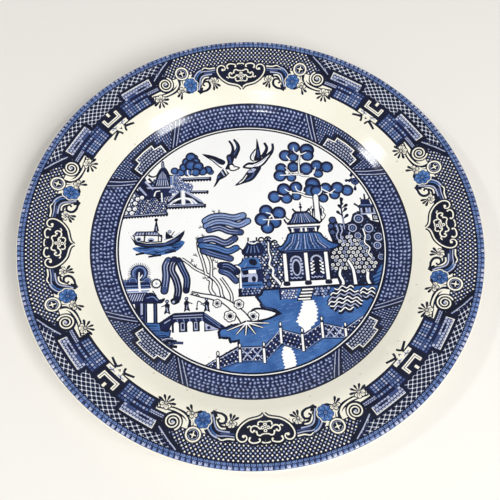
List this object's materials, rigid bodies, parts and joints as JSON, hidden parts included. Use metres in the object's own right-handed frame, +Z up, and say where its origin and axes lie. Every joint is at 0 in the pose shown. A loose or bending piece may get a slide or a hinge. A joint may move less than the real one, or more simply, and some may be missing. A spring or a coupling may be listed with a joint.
{
  "type": "dinner plate",
  "caption": "Round glazed china dinner plate with a flat well, a raised sloping rim and a foot ring, decorated in blue under the glaze.",
  "frame": {"origin": "centre of the foot ring's contact plane, on the plate's axis", "axes": "+Z up along the axis the plate was turned on, +Y towards the top of the printed scene, +X to the scene's right"},
  "size_m": [0.26, 0.26, 0.0249],
  "materials": {
    "biscuit_body": "matt biscuit-fired cream earthenware, bare at the foot ring's edge",
    "main_glaze": "glossy clear glaze over cream clay and a cobalt blue underglaze transfer print",
    "underside_glaze": "glossy clear glaze over cream clay"
  },
  "bodies": {
    "root": {"biscuit_body": "biscuit_body", "main_glaze": "main_glaze", "underside_glaze": "underside_glaze"}
  },
  "joints": []
}
